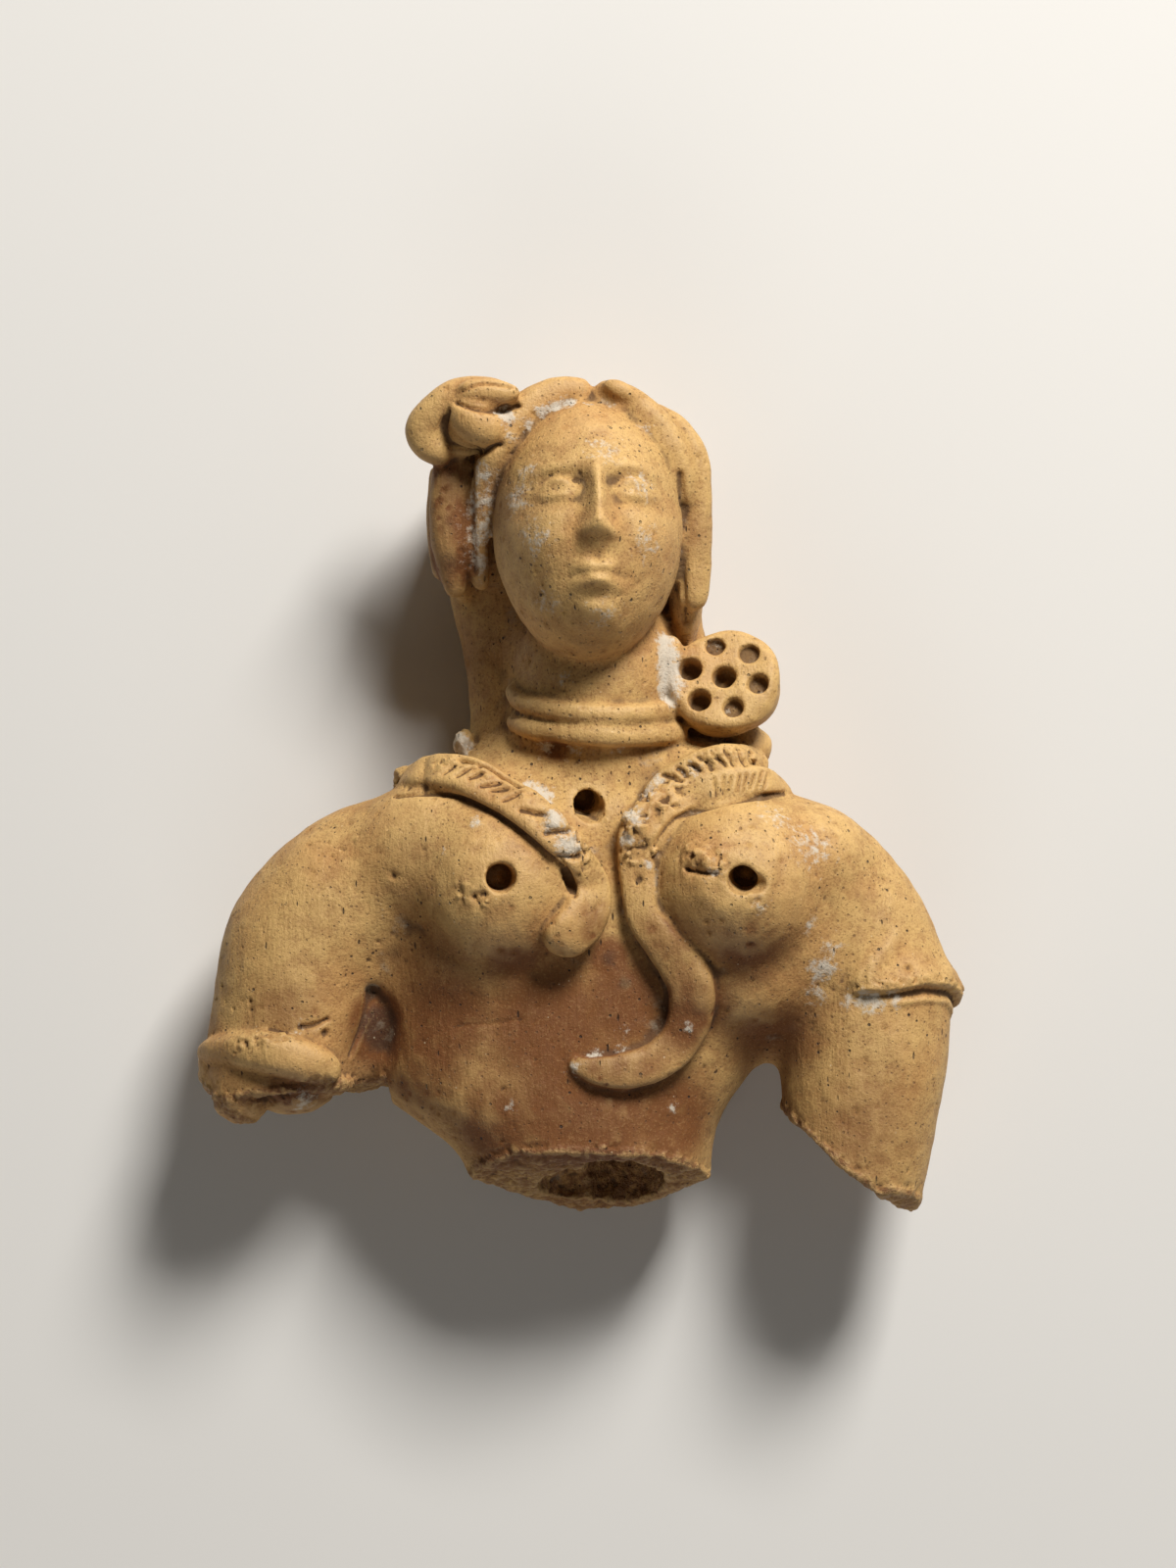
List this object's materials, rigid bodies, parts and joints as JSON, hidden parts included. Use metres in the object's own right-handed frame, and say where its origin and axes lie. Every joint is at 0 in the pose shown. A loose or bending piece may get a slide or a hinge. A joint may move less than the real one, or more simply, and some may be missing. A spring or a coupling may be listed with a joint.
{
  "type": "broken terracotta bust",
  "caption": "Hand-modelled terracotta bust of a woman, broken at the waist and both arms, with a coiled garland, necklace and one pierced ear disc, lying on its flat back.",
  "frame": {"origin": "middle of the bounding box's underside, on the surface that the flat back lies on", "axes": "+X to the viewer's right when the face looks at the viewer, +Y from the broken waist to the crown, +Z out of the front, from the back up to the breasts"},
  "size_m": [0.1566, 0.1738, 0.0616],
  "materials": {
    "fired_clay": "matt low-fired clay, ochre to orange-brown, with pale lime deposits"
  },
  "bodies": {
    "root": {"terracotta_bust": "fired_clay"}
  },
  "joints": []
}
